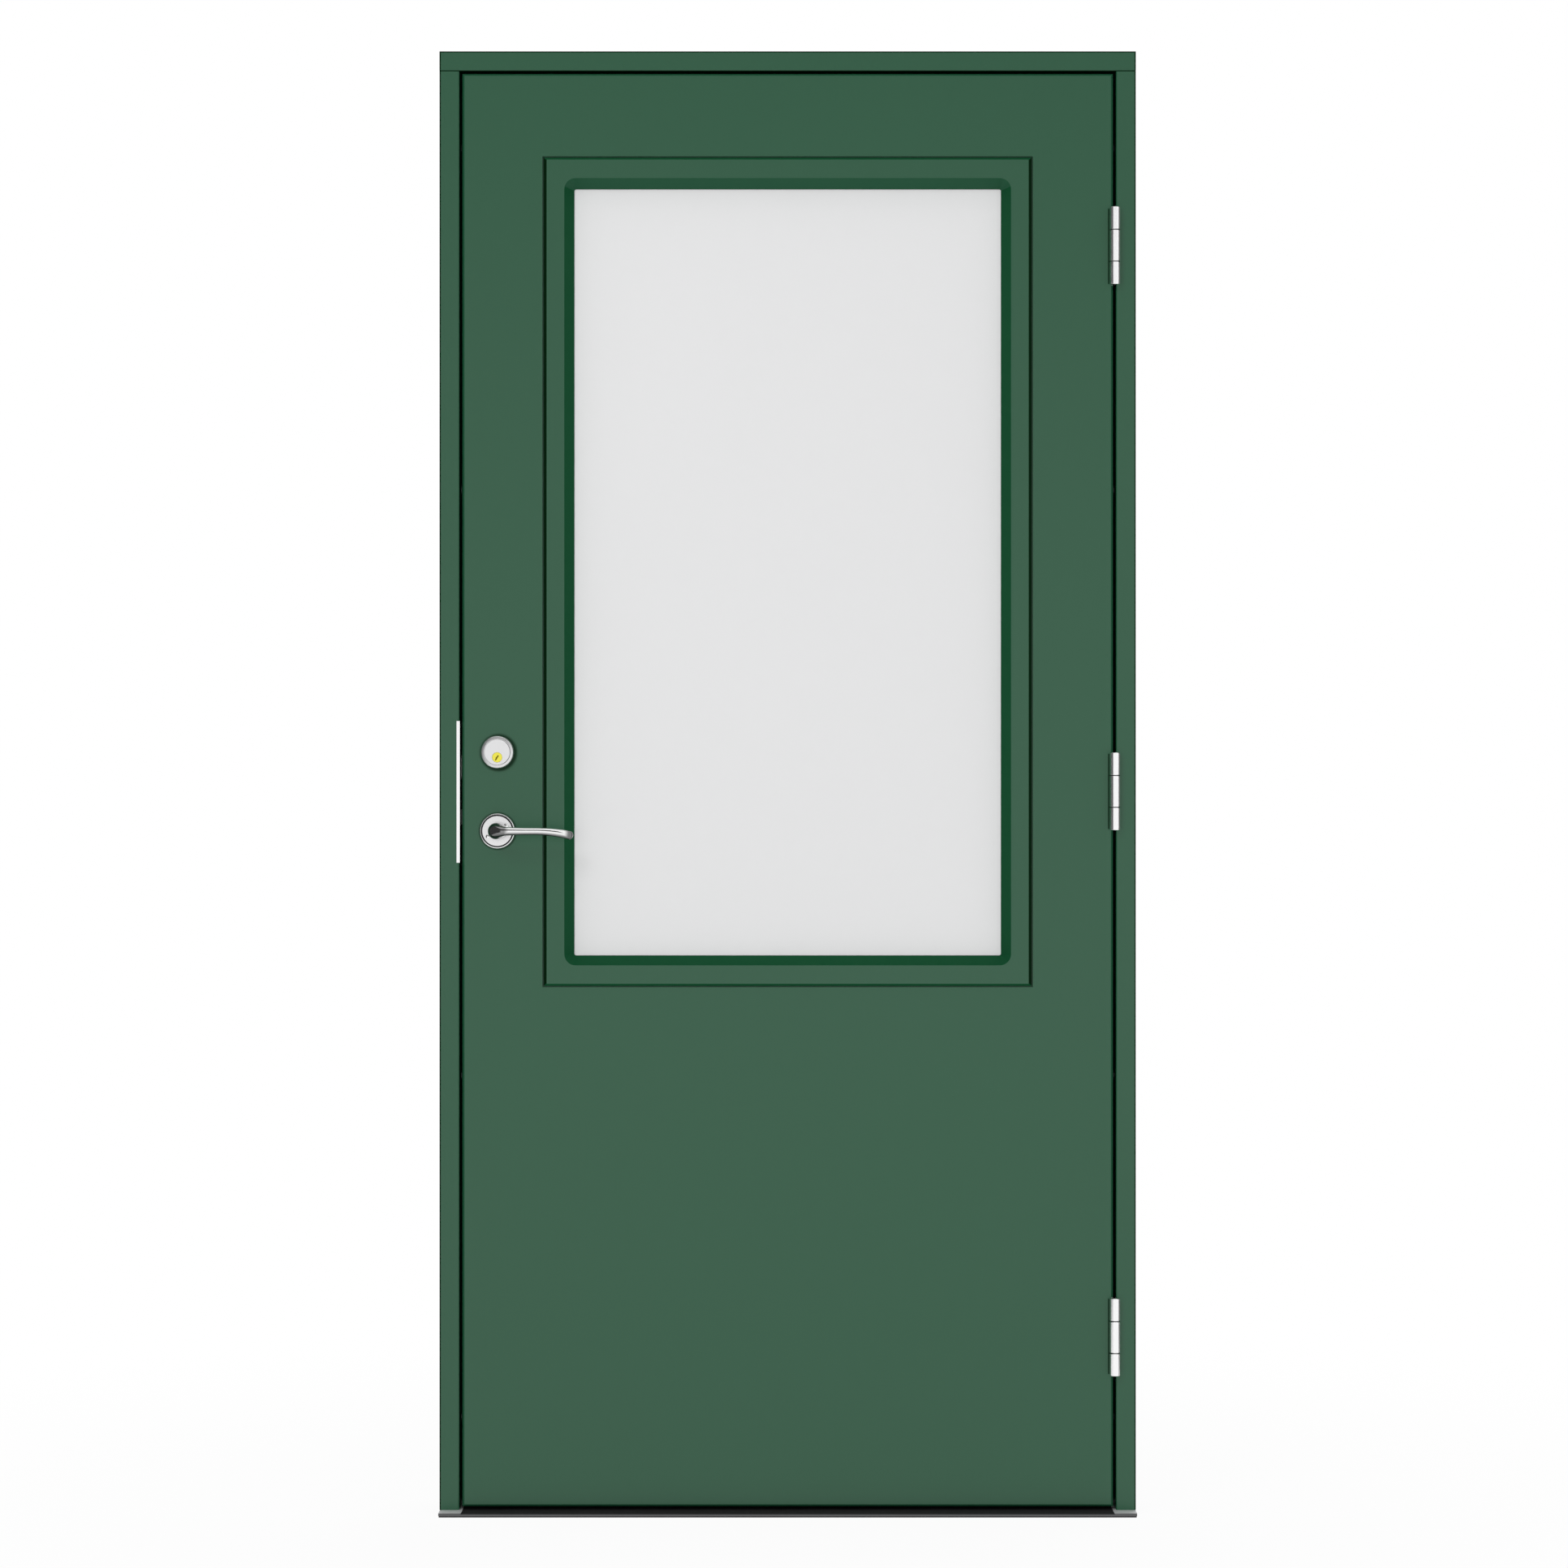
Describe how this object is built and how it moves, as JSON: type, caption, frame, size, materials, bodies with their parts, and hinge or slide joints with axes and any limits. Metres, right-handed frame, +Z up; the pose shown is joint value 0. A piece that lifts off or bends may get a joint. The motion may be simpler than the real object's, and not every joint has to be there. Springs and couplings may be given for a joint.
{
  "type": "glazed entrance door with frame",
  "caption": "Green painted outward-opening entrance door hung in its own frame, with a large frosted light, lever handle, cylinder lock, butt hinges and a low threshold",
  "frame": {"origin": "on the underside of the threshold gasket, midway across the frame, in the plane of the frame's outer face", "axes": "+X across the doorway towards the hinges, +Y into the house, +Z up"},
  "size_m": [0.99, 0.1702, 2.08],
  "materials": {
    "paint": "satin paint on timber and board",
    "steel": "satin",
    "polished": "polished",
    "zinc": "bright zinc",
    "rubber": "matte",
    "timber": "planed",
    "foam": "matte",
    "alu": "satin anodised",
    "brass": "satin",
    "glass": "frosted"
  },
  "bodies": {
    "frame": {"frame_head": "paint", "lock_jamb": "paint", "hinge_jamb": "paint", "threshold": "alu", "threshold_tread": "rubber", "sill_gasket": "rubber", "frame_seal": "rubber", "threshold_seal": "rubber", "strike_plate": "polished", "frame_sleeves": "zinc", "frame_corner_screws": "zinc", "top_hinge_frame_plate": "polished", "middle_hinge_frame_plate": "polished", "bottom_hinge_frame_plate": "polished", "hinge_pins": "steel", "hinge_washers": "zinc", "frame_plate_screws": "zinc"},
    "leaf": {"outer_skin": "paint", "inner_skin": "paint", "lock_stile": "timber", "hinge_stile": "timber", "top_rail": "timber", "middle_rail": "timber", "bottom_rail": "timber", "insulation_core": "foam", "outer_glazing_frame": "paint", "inner_glazing_frame": "paint", "outer_pane": "glass", "inner_pane": "glass", "spacer_bar": "alu", "edge_sealant": "rubber", "outer_glazing_seal": "rubber", "inner_glazing_seal": "rubber", "setting_blocks": "rubber", "glazing_screws": "zinc", "lock_case": "zinc", "lock_forend": "steel", "forend_screws": "zinc", "latch_spring": "steel", "cylinder_ring": "steel", "cylinder_body": "steel", "cylinder_screws": "zinc", "outer_rose": "steel", "inner_rose": "steel", "rose_bolts": "polished", "thumbturn_rose": "steel", "top_hinge_leaf_plate": "polished", "middle_hinge_leaf_plate": "polished", "bottom_hinge_leaf_plate": "polished", "leaf_plate_screws": "zinc"},
    "handle": {"outer_lever": "steel", "inner_lever": "steel", "spindle": "zinc", "follower": "zinc"},
    "latch": {"latch_bolt": "steel"},
    "dead_bolt": {"dead_bolt": "steel"},
    "thumbturn": {"thumbturn": "steel", "bolt_cam": "zinc"},
    "plug": {"cylinder_plug": "brass"}
  },
  "joints": [
    {"name": "door_swing", "type": "hinge", "parent": "frame", "child": "leaf", "pos_m": [0.46475, -0.0078, 1], "axis": [0, 0, 1], "range_deg": [0, 170]},
    {"name": "handle_turn", "type": "hinge", "parent": "leaf", "child": "handle", "pos_m": [-0.4125, 0.03, 0.9715], "axis": [0, 1, 0], "range_deg": [0, 45], "stiffness_Nm_per_rad": 1.5, "springref_deg": -28.65},
    {"name": "latch_slide", "type": "slide", "parent": "leaf", "child": "latch", "axis": [1, 0, 0], "range_m": [0, 0.011], "deforming": ["latch_spring"]},
    {"name": "thumb_turn", "type": "hinge", "parent": "leaf", "child": "thumbturn", "pos_m": [-0.4125, 0.03, 1.076], "axis": [0, 1, 0], "range_deg": [0, 90]},
    {"name": "bolt_throw", "type": "slide", "parent": "leaf", "child": "dead_bolt", "axis": [-1, 0, 0], "range_m": [0, 0.0201]},
    {"name": "plug_turn", "type": "hinge", "parent": "leaf", "child": "plug", "pos_m": [-0.4125, 0.03, 1.076], "axis": [0, 1, 0], "range_deg": [0, 90]}
  ],
  "couplings": [
    {"joint": "latch_slide", "follows": "handle_turn", "m_per_rad": 0.014},
    {"joint": "bolt_throw", "follows": "thumb_turn", "m_per_rad": 0.012732},
    {"joint": "plug_turn", "follows": "thumb_turn", "ratio": 1}
  ]
}
